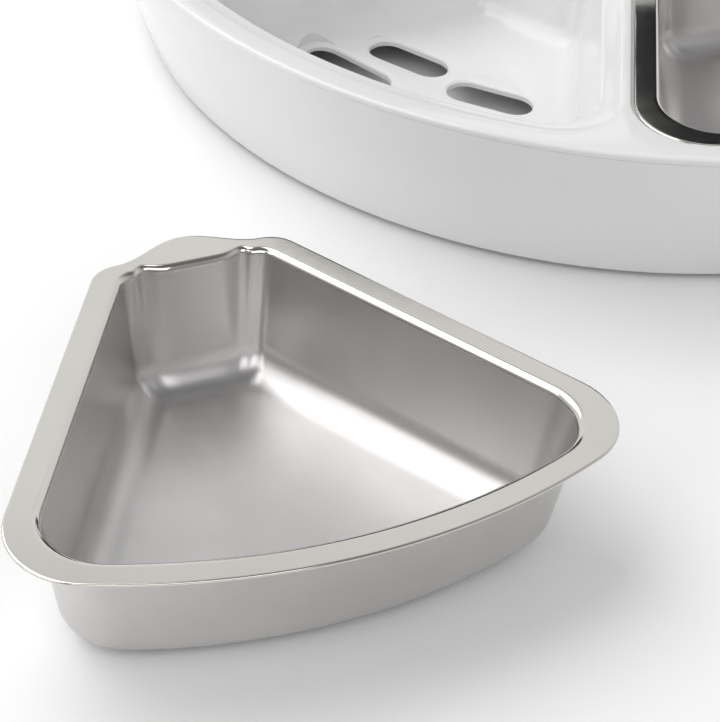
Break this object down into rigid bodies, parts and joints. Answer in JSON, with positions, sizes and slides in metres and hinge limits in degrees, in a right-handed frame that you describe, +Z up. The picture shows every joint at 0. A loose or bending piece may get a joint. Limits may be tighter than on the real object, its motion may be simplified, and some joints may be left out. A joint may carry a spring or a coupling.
{
  "type": "automatic pet feeder",
  "caption": "Round automatic pet feeder with a motor-driven carousel of wedge pockets, lift-out steel bowls, a smoked hinged lid and a central control hub.",
  "frame": {"origin": "on the floor under the centre of the base, on the face of the middle foot", "axes": "+Z up along the carousel's axis, -Y towards the front, where the loose bowl lies, +X to the viewer's right"},
  "size_m": [0.32, 0.5713, 0.3653],
  "materials": {
    "white_plastic": "gloss",
    "smoked_plastic": "gloss",
    "dark_plastic": "satin",
    "steel_sheet": "satin",
    "zinc_steel": "satin",
    "acetal": "matte",
    "bronze": "satin",
    "black_rubber": "matte",
    "board_green": "satin",
    "electronic_black": "matte",
    "cell_jacket": "gloss"
  },
  "bodies": {
    "base": {"base_shell": "white_plastic", "base_wall": "white_plastic", "rubber_feet": "black_rubber", "glide_ring": "acetal", "gear_motor": "zinc_steel", "motor_bracket": "zinc_steel", "bracket_screws": "zinc_steel", "sensor_board": "board_green", "battery_cells": "cell_jacket", "battery_contacts": "zinc_steel", "battery_door_left": "white_plastic", "battery_door_right": "white_plastic", "door_screws": "zinc_steel", "hub_housing": "white_plastic", "hub_screws": "zinc_steel", "main_board": "board_green", "tact_switches": "electronic_black", "lcd_module": "electronic_black", "hub_cover": "white_plastic", "cover_screws": "zinc_steel", "display_lens": "smoked_plastic", "button_springs": "zinc_steel", "lid_hinge_pin": "zinc_steel"},
    "carousel": {"carousel_tray": "white_plastic", "pocket_well_1": "white_plastic", "pocket_well_2": "white_plastic", "pocket_well_3": "white_plastic", "pocket_well_4": "white_plastic", "pocket_well_5": "white_plastic", "pocket_well_6": "white_plastic", "centre_bush": "bronze", "carousel_gear": "acetal", "gear_screws": "zinc_steel", "index_magnets": "zinc_steel"},
    "pinion": {"motor_pinion": "acetal", "pinion_shaft": "zinc_steel"},
    "lid": {"lid_shell": "smoked_plastic", "lid_skirt": "smoked_plastic", "lid_window_trim": "dark_plastic"},
    "lid_lock": {"lid_lock_knob": "dark_plastic"},
    "key_back": {"button_back": "dark_plastic"},
    "key_minus": {"button_minus": "dark_plastic"},
    "key_plus": {"button_plus": "dark_plastic"},
    "key_feed": {"button_feed": "dark_plastic"},
    "food_bowl_loose": {"bowl_loose": "steel_sheet"},
    "food_bowl_1": {"bowl_1": "steel_sheet"},
    "food_bowl_2": {"bowl_2": "steel_sheet"},
    "food_bowl_3": {"bowl_3": "steel_sheet"},
    "food_bowl_4": {"bowl_4": "steel_sheet"},
    "food_bowl_5": {"bowl_5": "steel_sheet"}
  },
  "joints": [
    {"name": "carousel_spin", "type": "hinge", "parent": "base", "child": "carousel", "pos_m": [0, 0, 0.04], "axis": [0, 0, 1], "continuous": true},
    {"name": "pinion_spin", "type": "hinge", "parent": "base", "child": "pinion", "pos_m": [0.03312, 0, 0.04], "axis": [0, 0, 1], "continuous": true},
    {"name": "lid_hinge", "type": "hinge", "parent": "base", "child": "lid", "pos_m": [0, 0.168, 0.05], "axis": [-1, 0, 0], "range_deg": [-105, 0]},
    {"name": "lid_lock_turn", "type": "hinge", "parent": "base", "child": "lid_lock", "pos_m": [0, -0.025, 0.075], "axis": [0, 0, -1], "range_deg": [0, 90]},
    {"name": "back_press", "type": "slide", "parent": "base", "child": "key_back", "axis": [0, 0, 1], "range_m": [-0.001, 0], "stiffness_N_per_m": 300, "springref_m": 0.001},
    {"name": "minus_press", "type": "slide", "parent": "base", "child": "key_minus", "axis": [0, 0, 1], "range_m": [-0.001, 0], "stiffness_N_per_m": 300, "springref_m": 0.001},
    {"name": "plus_press", "type": "slide", "parent": "base", "child": "key_plus", "axis": [0, 0, 1], "range_m": [-0.001, 0], "stiffness_N_per_m": 300, "springref_m": 0.001},
    {"name": "feed_press", "type": "slide", "parent": "base", "child": "key_feed", "axis": [0, 0, 1], "range_m": [-0.001, 0], "stiffness_N_per_m": 300, "springref_m": 0.001},
    {"name": "bowl_1_lift", "type": "slide", "parent": "carousel", "child": "food_bowl_1", "axis": [0, 0, 1], "range_m": [0, 0.06]},
    {"name": "bowl_2_lift", "type": "slide", "parent": "carousel", "child": "food_bowl_2", "axis": [0, 0, 1], "range_m": [0, 0.06]},
    {"name": "bowl_3_lift", "type": "slide", "parent": "carousel", "child": "food_bowl_3", "axis": [0, 0, 1], "range_m": [0, 0.06]},
    {"name": "bowl_4_lift", "type": "slide", "parent": "carousel", "child": "food_bowl_4", "axis": [0, 0, 1], "range_m": [0, 0.06]},
    {"name": "bowl_5_lift", "type": "slide", "parent": "carousel", "child": "food_bowl_5", "axis": [0, 0, 1], "range_m": [0, 0.06]},
    {"name": "bowl_loose_lift", "type": "slide", "parent": "base", "child": "food_bowl_loose", "axis": [0, 0, 1], "range_m": [0, 0.12]}
  ],
  "couplings": [
    {"joint": "pinion_spin", "follows": "carousel_spin", "ratio": -2.6667}
  ]
}
